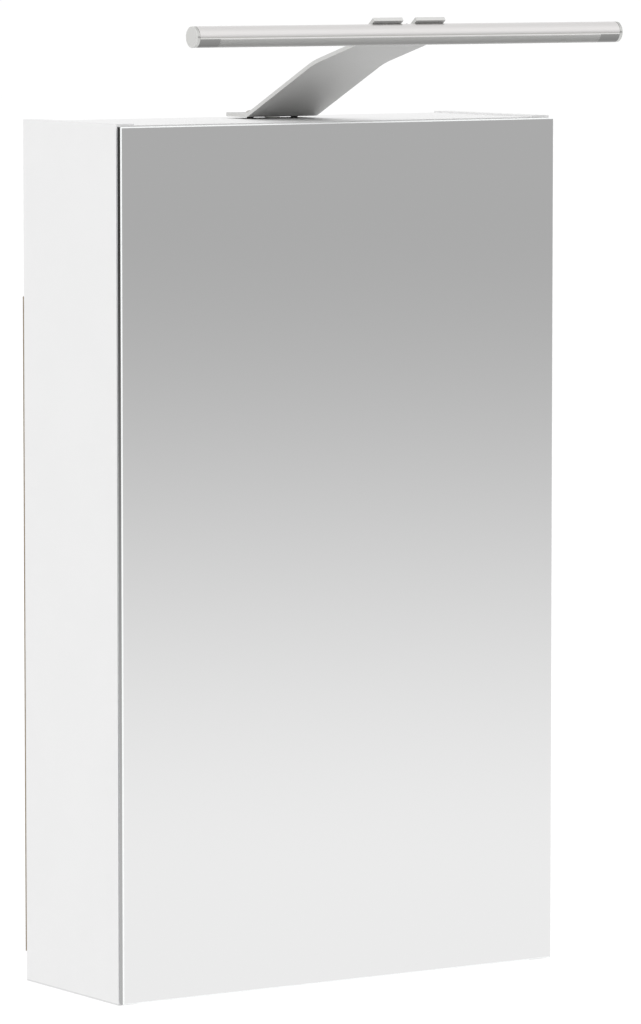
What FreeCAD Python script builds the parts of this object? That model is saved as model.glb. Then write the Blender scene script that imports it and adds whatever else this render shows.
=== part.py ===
"""Mirror cabinet with one frameless mirror door and a light bar on a bent arm.

Frame, in mm: X to the right, Y back towards the wall, Z up. The origin is the middle of the two
wall holes, on the rear face of the rear rail. The door is hinged on the right.
"""
import FreeCAD, Part
import math
import os

V = FreeCAD.Vector
X_AXIS = V(1, 0, 0)
Y_AXIS = V(0, 1, 0)
Z_AXIS = V(0, 0, 1)
NEAR = 0.01                # two places closer than this are the same

# Carcass
cabinet_width = 400.0
cabinet_height = 672.0
carcass_depth = 137.0
board = 16.0               # faced board of the carcass
top_recess = 1.3           # top board below the upper ends of the sides
finger_space = 18.0        # bottom board above the lower ends of the sides
rail_height = 138.0
wall_hole_drop = 70.0      # wall holes below the top of the rail, clear of the switch box
wall_hole_spacing = 260.0
wall_hole_radius = 3.0
back_thickness = 3.0
back_overlap = 18.3        # upper edge of the back panel above the lower edge of the rail
back_lift = 23.0           # lower edge of the back panel above the lower ends of the sides
back_inset = 0.8           # edge of the back panel inside the outer face of the sides
nail_seat_radius = 2.6     # dents of the driven nails in the back panel
nail_seat_depth = 0.8
nail_steps_across = 4
nail_steps_up = 5
dowel_radius = 4.0
dowel_length = 30.0
dowel_depth_side = 11.0    # part of a dowel inside a side board
dowel_end_margin = 28.0

# Shelves
shelf_thickness = 5.0
shelf_depth = 122.0
shelf_rear_gap = 1.0
shelf_corner = 10.0
shelf_side_gap = 1.0
shelf_lower_level = 210.0  # underside of the lower shelf above the lower ends of the sides
shelf_upper_level = 400.0
pin_radius = 2.5
pin_seat_length = 9.0
pin_reach = 8.0
pin_flange = 1.2
pin_flange_radius = 4.0
pin_hole_pitch = 32.0
pin_row_margin = 30.0      # pin rows inside the front and rear edges of a shelf

# Door
pane_thickness = 5.0
pane_arris = 0.9
film_thickness = 0.25      # safety film on the rear of the mirror
door_top_gap = 2.0         # door below the upper ends of the sides
door_bottom_gap = 1.5

# Hinges
leaf_thickness = 0.7
leaf_clearance = 0.3
leaf_corner = 2.0
hinge_length = 70.0
hinge_margin = 62.0        # hinge ends inside the door's ends
knuckle_radius = 2.2
knuckle_inset = 2.8        # hinge axis inside the outer face of the side
knuckle_set_back = 2.2     # hinge axis behind the front edge of the side
knuckle_clearance = 0.4
knuckle_count = 5
hinge_pin_radius = 1.0
hinge_fit = 0.05
door_leaf_reach = 30.0
hinge_screw_radius = 1.5
hinge_screw_head = 2.8
hinge_screw_length = 14.0
hinge_screw_count = 3

# Catch and bumpers
catch_width = 11.0
catch_height = 44.0
catch_depth = 26.0
magnet_height = 26.0
magnet_width = 6.0
magnet_depth = 12.0
catch_gap = 0.2
catch_ear = 9.0
catch_ear_thickness = 2.5
catch_ear_set_back = 8.0
catch_screw_radius = 1.6
strike_width = 13.0
strike_height = 38.0
strike_thickness = 1.0
bumper_radius = 4.0
bumper_margin = 40.0
bumper_play = 0.1

# Arm of the light
arm_width = 65.0
arm_thickness = 3.0
arm_foot = 30.0
arm_rise = 104.0
arm_reach = 59.0
prong_length = 32.5
rise_angle = 24.4
reach_angle = 14.7
prong_angle = 36.3
foot_bend = 6.0            # inner radius of the sheet's bends
crest_bend = 100.0
prong_bend = 6.0
foot_back = 28.7           # rear end of the foot in front of the carcass's rear edge
prong_notch_width = 12.0
prong_notch_depth = 17.0
spacer_height = 1.5
spacer_radius = 2.7
arm_screw_spacing = 41.0
arm_screw_inset = 16.0     # arm screws in front of the rear end of the foot
arm_screw_radius = 1.75
arm_screw_head = 3.6
arm_screw_head_height = 2.0
arm_screw_length = 14.0
screw_clearance = 0.25
head_round = 0.6           # share of a screw head's height that is rounded
lead_hole_radius = 4.0
grommet_collar = 0.9
grommet_collar_radius = 6.0
grommet_wall = 1.2

# Light bar
bar_radius = 8.0
bar_length = 389.0
bar_flat = 7.5             # seat of the prongs above the bar's axis
bar_seat = 25.0            # bar's axis along the prongs, from their bend
channel_half_width = 5.2
channel_floor = 1.5        # floor of the channel above the bar's axis
lip_half_width = 4.5       # between the lips at the mouth of the channel
lip_height = 1.2
mouth_angle = 43.0         # half angle of the light's window
cap_disc = 3.0
cap_tongue = 18.0
cap_edge = 0.6
cap_seam = 0.4             # width and depth of the groove between an end disc and the bar
cap_plug_wall = 0.15       # play of the plug inside the channel
diffuser_wall = 1.2
diffuser_leg = 1.0
diffuser_play = 0.1
led_board_thickness = 1.2
led_board_width = 9.0
led_count = 30
led_width = 2.8
led_length = 3.5
led_height = 0.8
bar_screw_spacing = 39.0
bar_screw_radius = 1.5
bar_screw_head = 2.8
bar_screw_head_height = 1.8
bar_screw_depth = 4.0      # screw below the seat
gland_radius = 2.0
gland_collar = 0.9
gland_collar_radius = 2.6
gland_bore = 1.4

# Switch box
box_width = 112.0
box_height = 46.0
box_depth = 58.0
box_wall = 2.0
box_side_gap = 1.0
lead_entry_radius = 3.0    # entry of the light's lead in the right wall of the box
lead_entry_drop = 9.0
supply_radius = 5.0        # entry of the supply through the rail and the rear wall of the box
cover_thickness = 2.0
cover_corner = 3.0
cover_screw_inset = 4.5    # cover screws inside the ends of the box
cover_screw_radius = 1.4
cover_screw_depth = 12.0
post_radius = 3.0          # posts that take the cover screws
rocker_width = 14.0
rocker_height = 20.4
rocker_tilt = 7.0
rocker_window_play = 0.9
rocker_window_side_play = 0.5
rocker_pivot_depth = 4.0   # rocker's axle behind the front of the cover
rocker_waist = 5.0         # front of the rocker above its axle, at the middle
rocker_belly = 3.5
rocker_margin = 22.0       # middle of the rocker inside the cover's right end
axle_radius = 1.2
axle_fit = 0.05
cheek_thickness = 2.0
cheek_radius = 3.2
driver_length = 70.0
driver_height = 28.0
driver_depth = 22.0
driver_round = 3.0
driver_gap = 0.5           # driver beside the left screw post

# Places worked out from the sizes
half_width = cabinet_width / 2
inner_half = half_width - board
z_rail_top = wall_hole_drop
z_top_board = z_rail_top + board
z_high = z_top_board + top_recess
z_low = z_high - cabinet_height
z_floor = z_low + finger_space
z_bottom_top = z_floor + board
z_rail_low = z_rail_top - rail_height
y_front = -carcass_depth
door_gap = 2 * leaf_thickness + leaf_clearance
y_film = y_front - door_gap
y_glass = y_film - film_thickness
y_door_front = y_glass - pane_thickness
z_door_high = z_high - door_top_gap
z_door_low = z_low + door_bottom_gap
hinge_x = half_width - knuckle_inset
hinge_y = y_front + knuckle_set_back
hinge_starts = (z_door_low + hinge_margin, z_door_high - hinge_margin - hinge_length)
knuckle_length = hinge_length / knuckle_count
shelf_y_high = -shelf_rear_gap
shelf_y_low = shelf_y_high - shelf_depth
z_shelves = (z_low + shelf_lower_level, z_low + shelf_upper_level)
shelf_pin_ys = (shelf_y_low + pin_row_margin, shelf_y_high - pin_row_margin)
y_foot_back = -foot_back
y_arm_screw = y_foot_back - arm_screw_inset
z_foot = z_top_board + spacer_height
tongue_end = cap_disc + cap_tongue
box_left = -inner_half + box_side_gap
box_right = box_left + box_width
y_box_front = -board - box_depth
y_cover_front = y_box_front - cover_thickness
z_box_low = z_rail_top - box_height
rocker_x = box_right - rocker_margin
rocker_y = y_cover_front + rocker_pivot_depth
rocker_z = z_rail_top - box_height / 2


def block(x0, x1, y0, y1, z0, z1):
    """Box between two corners."""
    return Part.makeBox(x1 - x0, y1 - y0, z1 - z0, V(x0, y0, z0))


def rod(radius, start, direction, length):
    """Cylinder from a start point along a direction."""
    return Part.makeCylinder(radius, length, start, direction)


def outline(points):
    """Face inside straight lines through the points."""
    return Part.Face(Part.makePolygon(points + points[:1]))


def save(node, *solids):
    """Write one node, made of one or more separate solids."""
    shape = solids[0] if len(solids) == 1 else Part.makeCompound(list(solids))
    shape.exportStep("parts/" + node + ".step")


def cut_all(shape, tools):
    """Shape with every tool taken away."""
    return shape.cut(Part.makeCompound(tools))


def dowel_lines():
    """Start point on the left joint face of each dowel: rail, top and bottom boards."""
    flat_ys = (y_front + dowel_end_margin, -board - dowel_end_margin)
    points = [V(-inner_half, y, z_rail_top + board / 2) for y in flat_ys]
    points += [V(-inner_half, y, z_floor + board / 2) for y in flat_ys]
    rail_zs = (z_rail_low + dowel_end_margin, z_rail_top - dowel_end_margin)
    points += [V(-inner_half, -board / 2, z) for z in rail_zs]
    return points


def dowel(point, side):
    """Dowel across one joint: side is -1 at the left joint and 1 at the right."""
    start = V(side * (inner_half + dowel_depth_side), point.y, point.z)
    return rod(dowel_radius, start, V(-side, 0, 0), dowel_length)


def pin_holes(side):
    """Rows of shelf pin holes in one side board, with one spare hole above and below each shelf."""
    holes = []
    for z in z_shelves:
        for y in shelf_pin_ys:
            for step in (-1, 0, 1):
                height = z - pin_radius + step * pin_hole_pitch
                holes.append(rod(pin_radius, V(side * inner_half, y, height), V(side, 0, 0), pin_seat_length))
    return holes


def hinge_notch(z0):
    """Room for the knuckles of one hinge at the outer front corner of the right side."""
    reach = knuckle_radius + knuckle_clearance
    return block(hinge_x - reach, half_width, y_front, hinge_y + reach, z0, z0 + hinge_length)


def side_board(side):
    """Left (-1) or right (1) side with its dowel holes, pin holes and hinge notches."""
    x0, x1 = sorted((side * inner_half, side * half_width))
    shape = block(x0, x1, y_front, 0, z_low, z_high)
    tools = [dowel(point, side) for point in dowel_lines()] + pin_holes(side)
    if side > 0:
        tools += [hinge_notch(z0) for z0 in hinge_starts]
        tools += [hinge_screw(place) for place in hinge_screw_places()]
    return cut_all(shape, tools)


def cross_board(y0, y1, z0, z1):
    """Board between the sides with the dowel holes that reach it."""
    shape = block(-inner_half, inner_half, y0, y1, z0, z1)
    return cut_all(shape, [dowel(point, side) for point in dowel_lines() for side in (-1, 1)])


def top_board():
    """Top board with the holes of the arm screws and of the grommet."""
    shape = cross_board(y_front, 0, z_rail_top, z_top_board)
    tools = [arm_screw_shank(x) for x in arm_screw_xs()]
    tools.append(rod(lead_hole_radius + grommet_wall, V(0, y_arm_screw, z_rail_top), Z_AXIS, board))
    return cut_all(shape, tools)


def rear_rail():
    """Rail across the top of the back with the two wall holes and the entry of the supply."""
    shape = cross_board(-board, 0, z_rail_low, z_rail_top)
    xs = (-wall_hole_spacing / 2, wall_hole_spacing / 2)
    tools = [rod(wall_hole_radius, V(x, -board, 0), Y_AXIS, board) for x in xs]
    return cut_all(shape, tools + [supply_entry()])


def nail_places():
    """Nails of the back panel, over the middles of the sides and of its laps on bottom board and rail."""
    x_reach = (half_width + inner_half) / 2
    z0 = (z_low + back_lift + z_bottom_top) / 2
    z1 = z_rail_low + back_overlap / 2
    xs = [x_reach * (2 * step / nail_steps_across - 1) for step in range(nail_steps_across + 1)]
    zs = [z0 + (z1 - z0) * step / nail_steps_up for step in range(nail_steps_up + 1)]
    rows = [(x, z) for x in xs for z in (z0, z1)]
    columns = [(x, z) for x in (-x_reach, x_reach) for z in zs[1:-1]]
    return [V(x, back_thickness, z) for x, z in rows + columns]


def back_panel():
    """Hardboard sheet on the rear edges, dented where its nails are driven in."""
    half = half_width - back_inset
    sheet = block(-half, half, 0, back_thickness, z_low + back_lift, z_rail_low + back_overlap)
    inward = Y_AXIS * -1
    return cut_all(sheet, [rod(nail_seat_radius, place, inward, nail_seat_depth) for place in nail_places()])


def glass_shelf(z0):
    """Glass shelf with rounded front corners."""
    half = inner_half - shelf_side_gap
    shape = block(-half, half, shelf_y_low, shelf_y_high, z0, z0 + shelf_thickness)
    fronts = [e for e in shape.Edges
              if abs(e.BoundBox.YMax - shelf_y_low) < NEAR and e.BoundBox.ZLength > shelf_thickness / 2]
    return shape.makeFillet(shelf_corner, fronts)


def shelf_pin(side, y, z0):
    """Pin with a flange against the side board, its top under the shelf."""
    axis = V(-side, 0, 0)
    centre = z0 - pin_radius
    start = V(side * (inner_half + pin_seat_length), y, centre)
    pin = rod(pin_radius, start, axis, pin_seat_length + pin_reach)
    flange = rod(pin_flange_radius, V(side * inner_half, y, centre), axis, pin_flange)
    below = block(-half_width, half_width, y - pin_flange_radius, y + pin_flange_radius,
                  centre - pin_flange_radius, z0)
    return pin.fuse(flange.common(below)).removeSplitter()


def mirror_pane():
    """Mirror glass with a ground arris round its front face."""
    shape = block(-half_width, half_width, y_door_front, y_glass, z_door_low, z_door_high)
    front = [e for e in shape.Edges if abs(e.BoundBox.YMax - y_door_front) < NEAR]
    return shape.makeChamfer(pane_arris, front)


def mirror_film():
    """Safety film on the rear of the mirror."""
    return block(-half_width, half_width, y_glass, y_film, z_door_low, z_door_high)


def hinge_leaf(z0, own, y0, y1, reach, neck_y):
    """Flat leaf with its share of the knuckles: own tells which knuckle numbers are its."""
    edge = hinge_x - knuckle_radius - knuckle_clearance
    shape = block(hinge_x - reach, edge, y0, y1, z0, z0 + hinge_length)
    free = [e for e in shape.Edges
            if abs(e.BoundBox.XMax - (hinge_x - reach)) < NEAR and e.BoundBox.YLength > leaf_thickness / 2]
    shape = shape.makeFillet(leaf_corner, free)
    for number in range(knuckle_count):
        if number % 2 != own:
            continue
        low = z0 + number * knuckle_length + (hinge_fit if number else 0)
        high = z0 + (number + 1) * knuckle_length - (hinge_fit if number < knuckle_count - 1 else 0)
        shape = shape.fuse(rod(knuckle_radius, V(hinge_x, hinge_y, low), Z_AXIS, high - low))
        bridge = block(edge, hinge_x - knuckle_radius / 2, y0, y1, low, high)
        neck = block(hinge_x - knuckle_radius, hinge_x - knuckle_radius / 2, y0, neck_y, low, high)
        shape = shape.fuse(bridge).fuse(neck)
    bore = rod(hinge_pin_radius + hinge_fit, V(hinge_x, hinge_y, z0), Z_AXIS, hinge_length)
    return shape.removeSplitter().cut(bore)


def hinge_screw_places():
    """Head centres of the countersunk screws through the side leaves."""
    x = (inner_half + hinge_x - knuckle_radius - knuckle_clearance) / 2
    step = hinge_length / hinge_screw_count
    return [V(x, y_front - leaf_thickness, z0 + (number + 0.5) * step)
            for z0 in hinge_starts for number in range(hinge_screw_count)]


def hinge_screw(place):
    """Countersunk screw, flush with the side leaf."""
    depth = hinge_screw_head - hinge_screw_radius
    head = Part.makeCone(hinge_screw_head, hinge_screw_radius, depth, place, Y_AXIS)
    shank = rod(hinge_screw_radius, place, Y_AXIS, hinge_screw_length)
    return head.fuse(shank).removeSplitter()


def side_leaf(z0):
    """Leaf on the front edge of the right side."""
    reach = hinge_x - inner_half
    leaf = hinge_leaf(z0, 0, y_front - leaf_thickness, y_front, reach, hinge_y)
    return cut_all(leaf, [hinge_screw(place) for place in hinge_screw_places()])


def door_leaf(z0):
    """Leaf bonded to the film on the rear of the door."""
    return hinge_leaf(z0, 1, y_film, y_film + leaf_thickness, door_leaf_reach, hinge_y)


def catch_body():
    """Magnet holder on the left side with two screw ears along the side."""
    z_mid = (z_low + z_high) / 2
    x0 = -inner_half
    y0 = y_film + strike_thickness + catch_gap
    y1 = y0 + catch_depth
    y_ear = y_front + catch_ear_set_back
    half = catch_height / 2
    body = block(x0, x0 + catch_width, y0, y1, z_mid - half, z_mid + half)
    ears = block(x0, x0 + catch_ear_thickness, y_ear, y1, z_mid - half - catch_ear, z_mid + half + catch_ear)
    holes = [rod(catch_screw_radius, V(x0, (y_ear + y1) / 2, z_mid + side * (half + catch_ear / 2)),
                 X_AXIS, catch_ear_thickness) for side in (-1, 1)]
    return cut_all(body.fuse(ears).removeSplitter(), holes + [magnet()])


def magnet():
    """Magnet set into the front of the holder."""
    z_mid = (z_low + z_high) / 2
    x0 = -inner_half + (catch_width - magnet_width) / 2
    y0 = y_film + strike_thickness + catch_gap
    half = magnet_height / 2
    return block(x0, x0 + magnet_width, y0, y0 + magnet_depth, z_mid - half, z_mid + half)


def strike_plate():
    """Steel plate on the door opposite the magnet, with rounded ends."""
    z_mid = (z_low + z_high) / 2
    x0 = -inner_half + (catch_width - strike_width) / 2
    half = strike_height / 2
    shape = block(x0, x0 + strike_width, y_film, y_film + strike_thickness, z_mid - half, z_mid + half)
    corners = [e for e in shape.Edges if abs(e.BoundBox.YLength - strike_thickness) < NEAR]
    return shape.makeFillet(strike_width / 3, corners)


def bumper(z):
    """Domed stop on the front edge of the left side."""
    height = door_gap - bumper_play
    x = -(half_width + inner_half) / 2
    base = rod(bumper_radius, V(x, y_front - height, z), Y_AXIS, height)
    front = [e for e in base.Edges if abs(e.BoundBox.YMax - (y_front - height)) < NEAR]
    return base.makeFillet(height / 2, front)


def turned(angle):
    """Unit direction in the YZ plane, forward and up by an angle in degrees."""
    return V(0, -math.cos(math.radians(angle)), math.sin(math.radians(angle)))


def arm_line():
    """Corners of the arm's underside, from the rear end of the foot to the tips of the prongs."""
    points = [V(0, y_foot_back, z_foot)]
    runs = ((0.0, arm_foot), (rise_angle, arm_rise), (reach_angle, arm_reach), (prong_angle, prong_length))
    for angle, length in runs:
        points.append(points[-1] + turned(angle) * length)
    return points


def sheet_edge(points, lift):
    """Edges along a bent line, moved to its upper side by lift, with an arc round each bend."""
    edges = []
    start = None
    bends = (foot_bend, crest_bend, prong_bend)
    for before, corner, after, bend in zip(points, points[1:], points[2:], bends):
        into = (corner - before).normalize()
        out = (after - corner).normalize()
        upward = out.cross(into).x > 0
        up_in = X_AXIS.cross(into) * -1
        up_out = X_AXIS.cross(out) * -1
        half_turn = into.getAngle(out) / 2
        # A bend that turns up has its centre above the sheet, and one that turns down below it.
        radius_here = bend + (arm_thickness - lift if upward else lift)
        radius_line = bend + (arm_thickness if upward else 0)
        back_off = radius_line * math.tan(half_turn)
        first = corner - into * back_off + up_in * lift
        last = corner + out * back_off + up_out * lift
        side = 1 if upward else -1
        centre = corner - into * back_off + up_in * (side * radius_line)
        middle = (up_in + up_out).normalize() * (-side * radius_here) + centre
        begin = points[0] + up_in * lift if start is None else start
        edges.append(Part.LineSegment(begin, first).toShape())
        edges.append(Part.Arc(first, middle, last).toShape())
        start = last
    end_up = X_AXIS.cross((points[-1] - points[-2]).normalize()) * -1
    edges.append(Part.LineSegment(start, points[-1] + end_up * lift).toShape())
    return edges


def lamp_arm():
    """Bent sheet arm with its end split into two prongs, and its screw and lead holes."""
    lower = sheet_edge(arm_line(), 0.0)
    upper = sheet_edge(arm_line(), arm_thickness)
    ends = [Part.LineSegment(a.Vertexes[index].Point, b.Vertexes[index].Point).toShape()
            for a, b, index in ((lower[0], upper[0], 0), (lower[-1], upper[-1], -1))]
    profile = Part.Wire(Part.__sortEdges__(lower + upper + ends))
    plate = Part.Face(profile).extrude(X_AXIS * arm_width)
    plate.translate(V(-arm_width / 2, 0, 0))
    tools = [rod(arm_screw_radius + screw_clearance, V(x, y_arm_screw, z_foot), Z_AXIS, arm_thickness)
             for x in arm_screw_xs()]
    tools.append(rod(lead_hole_radius, V(0, y_arm_screw, z_foot), Z_AXIS, arm_thickness))
    tools += [on_bar(rod(bar_screw_radius + screw_clearance, V(x, 0, bar_flat), Z_AXIS, arm_thickness))
              for x in bar_screw_xs()]
    tip = prong_length - bar_seat
    half = prong_notch_width / 2
    notch = block(-half, half, -tip, prong_notch_depth - tip, bar_flat, bar_flat + arm_thickness)
    tools.append(on_bar(notch))
    return cut_all(plate, tools)


def arm_screw_xs():
    """Places of the two arm screws."""
    return (-arm_screw_spacing / 2, arm_screw_spacing / 2)


def arm_screw_shank(x):
    """Shank of an arm screw, from the top of the foot down into the top board."""
    return rod(arm_screw_radius, V(x, y_arm_screw, z_foot + arm_thickness), Z_AXIS * -1, arm_screw_length)


def arm_screw(x):
    """Round head screw of the arm."""
    head = rod(arm_screw_head, V(x, y_arm_screw, z_foot + arm_thickness), Z_AXIS, arm_screw_head_height)
    rim = [e for e in head.Edges if e.BoundBox.ZMin > z_foot + arm_thickness + arm_screw_head_height / 2
           and e.BoundBox.XLength > arm_screw_head]
    head = head.makeFillet(arm_screw_head_height * head_round, rim)
    return head.fuse(arm_screw_shank(x)).removeSplitter()


def arm_spacer(x):
    """Ring that holds the foot of the arm off the top board."""
    base = V(x, y_arm_screw, z_top_board)
    ring = rod(spacer_radius, base, Z_AXIS, spacer_height)
    return ring.cut(rod(arm_screw_radius + screw_clearance, base, Z_AXIS, spacer_height))


def lead_grommet():
    """Collared sleeve for the lead in the top board, under the foot of the arm."""
    base = V(0, y_arm_screw, z_rail_top)
    sleeve = rod(lead_hole_radius + grommet_wall, base, Z_AXIS, board)
    collar = rod(grommet_collar_radius, V(0, y_arm_screw, z_top_board), Z_AXIS, grommet_collar)
    bore = rod(lead_hole_radius, base, Z_AXIS, board + grommet_collar)
    return sleeve.fuse(collar).removeSplitter().cut(bore)


def on_bar(shape):
    """Place a shape that is drawn round the X axis, with the prongs' seat upwards, onto the light bar."""
    points = arm_line()
    into = (points[-1] - points[-2]).normalize()
    down = X_AXIS.cross(into)
    axis_point = points[-2] + into * bar_seat + down * bar_flat
    placed = shape.copy()
    placed.rotate(V(0, 0, 0), X_AXIS, -prong_angle)
    placed.translate(axis_point)
    return placed


def bar_screw_xs():
    """Places of the two screws between prongs and bar."""
    return (-bar_screw_spacing / 2, bar_screw_spacing / 2)


def bar_core(radius, length):
    """Round bar about the X axis, middle at the origin."""
    return rod(radius, V(-length / 2, 0, 0), X_AXIS, length)


def window_wedge(length):
    """Wedge below the bar's axis that bounds the light's window."""
    reach = 2 * bar_radius
    wide = reach * math.tan(math.radians(mouth_angle))
    face = outline([V(-length / 2, 0, 0), V(-length / 2, -wide, -reach), V(-length / 2, wide, -reach)])
    return face.extrude(X_AXIS * length)


def bar_hollow(length):
    """Channel of the bar: a slot with lips at its mouth."""
    lip_top = -bar_radius * math.cos(math.radians(mouth_angle)) + lip_height
    wide = block(-length / 2, length / 2, -channel_half_width, channel_half_width, lip_top, channel_floor)
    mouth = block(-length / 2, length / 2, -lip_half_width, lip_half_width, -bar_radius, lip_top)
    return wide.fuse(mouth).removeSplitter()


def bar_screw_shank(x):
    """Shank of a bar screw, from the top of the prong down into the bar."""
    top = bar_flat + arm_thickness
    return rod(bar_screw_radius, V(x, 0, top), Z_AXIS * -1, arm_thickness + bar_screw_depth)


def lamp_housing():
    """Extruded bar with a flat seat, an open channel and the screw holes."""
    length = bar_length - 2 * cap_disc
    shape = bar_core(bar_radius, length)
    over = block(-length, length, -bar_radius, bar_radius, bar_flat, 2 * bar_radius)
    shape = shape.cut(over).cut(bar_hollow(length)).cut(window_wedge(length).common(bar_shell(length)))
    tools = [bar_screw_shank(x) for x in bar_screw_xs()]
    tools.append(rod(gland_radius, V(0, 0, channel_floor), Z_AXIS, bar_flat - channel_floor))
    return on_bar(cut_all(shape, tools))


def bar_shell(length):
    """Outer skin of the bar, as thick as the diffuser."""
    return bar_core(bar_radius, length).cut(bar_core(bar_radius - diffuser_wall, length))


def lamp_diffuser():
    """Curved cover strip of the window with two legs behind the lips."""
    length = bar_length - 2 * tongue_end
    skin = bar_shell(length).common(window_wedge(length))
    low = -bar_radius * math.cos(math.radians(mouth_angle)) + diffuser_play
    leg_out = lip_half_width - diffuser_play
    leg_low = -math.sqrt((bar_radius - diffuser_wall / 2) ** 2 - leg_out ** 2)
    legs = [block(-length / 2, length / 2, *sorted((side * leg_out, side * (leg_out - diffuser_leg))),
                  leg_low, low + 2 * lip_height) for side in (-1, 1)]
    return on_bar(skin.fuse(legs).removeSplitter())


def lamp_end_cap(side):
    """End disc behind a groove, a tongue that closes the window and a plug inside the channel."""
    face_x = side * (bar_length / 2 - cap_disc)
    neck = rod(bar_radius - cap_seam, V(face_x, 0, 0), V(side, 0, 0), cap_disc / 2)
    disc = rod(bar_radius, V(face_x + side * cap_seam, 0, 0), V(side, 0, 0), cap_disc - cap_seam)
    rim = [e for e in disc.Edges if abs(e.CenterOfMass.x) > bar_length / 2 - cap_disc / 2
           and e.BoundBox.YLength > bar_radius]
    disc = disc.makeFillet(cap_edge, rim)
    run = cap_tongue + cap_seam
    tongue = bar_shell(run).common(window_wedge(run))
    half = lip_half_width - cap_plug_wall
    plug_low = -(bar_radius - diffuser_wall)
    plug_high = channel_floor - led_board_thickness - led_height - cap_plug_wall
    plug = block(-run / 2, run / 2, -half, half, plug_low, plug_high)
    plug = plug.common(bar_core(bar_radius, run))
    inner = tongue.fuse(plug).removeSplitter()
    inner.translate(V(face_x + side * (cap_seam - cap_tongue) / 2, 0, 0))
    return on_bar(disc.fuse([neck, inner]).removeSplitter())


def led_board():
    """Strip that carries the light sources, on the floor of the channel."""
    half = bar_length / 2 - tongue_end
    side = led_board_width / 2
    return on_bar(block(-half, half, -side, side, channel_floor - led_board_thickness, channel_floor))


def led_chips():
    """Light sources in one row along the strip."""
    usable = bar_length - 2 * tongue_end
    pitch = usable / led_count
    top = channel_floor - led_board_thickness
    chips = []
    for number in range(led_count):
        x = -usable / 2 + (number + 0.5) * pitch
        chips.append(on_bar(block(x - led_length / 2, x + led_length / 2, -led_width / 2, led_width / 2,
                                  top - led_height, top)))
    return chips


def bar_screw(x):
    """Round head screw between a prong and the bar."""
    top = bar_flat + arm_thickness
    head = rod(bar_screw_head, V(x, 0, top), Z_AXIS, bar_screw_head_height)
    rim = [e for e in head.Edges if e.BoundBox.ZMin > top + bar_screw_head_height / 2
           and e.BoundBox.XLength > bar_screw_head]
    head = head.makeFillet(bar_screw_head_height * head_round, rim)
    return on_bar(head.fuse(bar_screw_shank(x)).removeSplitter())


def lamp_gland():
    """Low collared bush for the lead in the bar's seat, between the prongs."""
    collar = rod(gland_collar_radius, V(0, 0, bar_flat), Z_AXIS, gland_collar)
    rim = [e for e in collar.Edges if e.BoundBox.ZMin > bar_flat + gland_collar / 2
           and e.BoundBox.XLength > gland_collar_radius]
    collar = collar.makeFillet(gland_collar / 2, rim)
    base = V(0, 0, channel_floor)
    sleeve = rod(gland_radius, base, Z_AXIS, bar_flat - channel_floor)
    bore = rod(gland_bore, base, Z_AXIS, bar_flat - channel_floor + gland_collar)
    return on_bar(sleeve.fuse(collar).removeSplitter().cut(bore))


def cover_screw_places():
    """Middles of the two cover screws, on the front of the box."""
    xs = (box_left + cover_screw_inset, box_right - cover_screw_inset)
    return [V(x, y_box_front, rocker_z) for x in xs]


def supply_entry():
    """Hole for the supply through the rail and the rear wall of the box, behind the rocker."""
    return rod(supply_radius, V(rocker_x, -board - box_wall, rocker_z), Y_AXIS, board + box_wall)


def switch_box():
    """Moulded box behind the cover, open to the front, with two screw posts and the leads' entries."""
    outer = block(box_left, box_right, y_box_front, -board, z_box_low, z_rail_top)
    inner = block(box_left + box_wall, box_right - box_wall, y_box_front, -board - box_wall,
                  z_box_low + box_wall, z_rail_top - box_wall)
    shape = outer.cut(inner)
    for place in cover_screw_places():
        shape = shape.fuse(rod(post_radius, place, Y_AXIS, box_depth - box_wall))
    tools = [rod(cover_screw_radius, place, Y_AXIS, cover_screw_depth) for place in cover_screw_places()]
    entry = V(box_right - box_wall, y_arm_screw, z_rail_top - lead_entry_drop)
    tools.append(rod(lead_entry_radius, entry, X_AXIS, box_wall))
    return cut_all(shape.removeSplitter(), tools + [supply_entry()])


def rocker_window():
    """Opening of the cover round the rocker."""
    half_x = rocker_width / 2 + rocker_window_side_play
    half_z = rocker_height / 2 + rocker_window_play
    return block(rocker_x - half_x, rocker_x + half_x, y_cover_front, y_box_front,
                 rocker_z - half_z, rocker_z + half_z)


def switch_cover():
    """Front plate of the switch box with screw holes, the rocker's window and its two bearing cheeks."""
    plate = block(box_left, box_right, y_cover_front, y_box_front, z_box_low, z_rail_top)
    corners = [e for e in plate.Edges if abs(e.BoundBox.YLength - cover_thickness) < NEAR]
    tools = [rod(cover_screw_radius + screw_clearance, place, Y_AXIS * -1, cover_thickness)
             for place in cover_screw_places()]
    plate = cut_all(plate.makeFillet(cover_corner, corners), tools + [rocker_window()])
    inner_x = rocker_width / 2 + rocker_window_side_play
    for side in (-1, 1):
        start = V(rocker_x + side * inner_x, rocker_y, rocker_z)
        cheek = rod(cheek_radius, start, V(side, 0, 0), cheek_thickness)
        x0, x1 = sorted((start.x, start.x + side * cheek_thickness))
        foot = block(x0, x1, y_box_front - cover_thickness / 2, rocker_y,
                     rocker_z - cheek_radius, rocker_z + cheek_radius)
        behind = block(x0, x1, y_box_front, rocker_y + cheek_radius,
                       rocker_z - cheek_radius, rocker_z + cheek_radius)
        plate = plate.fuse(cheek.common(behind)).fuse(foot)
    reach = inner_x + cheek_thickness
    bore = rod(axle_radius + axle_fit, V(rocker_x - reach, rocker_y, rocker_z), X_AXIS, 2 * reach)
    return plate.removeSplitter().cut(bore)


def switch_axle():
    """Axle of the rocker between the cheeks."""
    reach = rocker_width / 2 + rocker_window_side_play + cheek_thickness
    return rod(axle_radius, V(rocker_x - reach, rocker_y, rocker_z), X_AXIS, 2 * reach)


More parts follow.
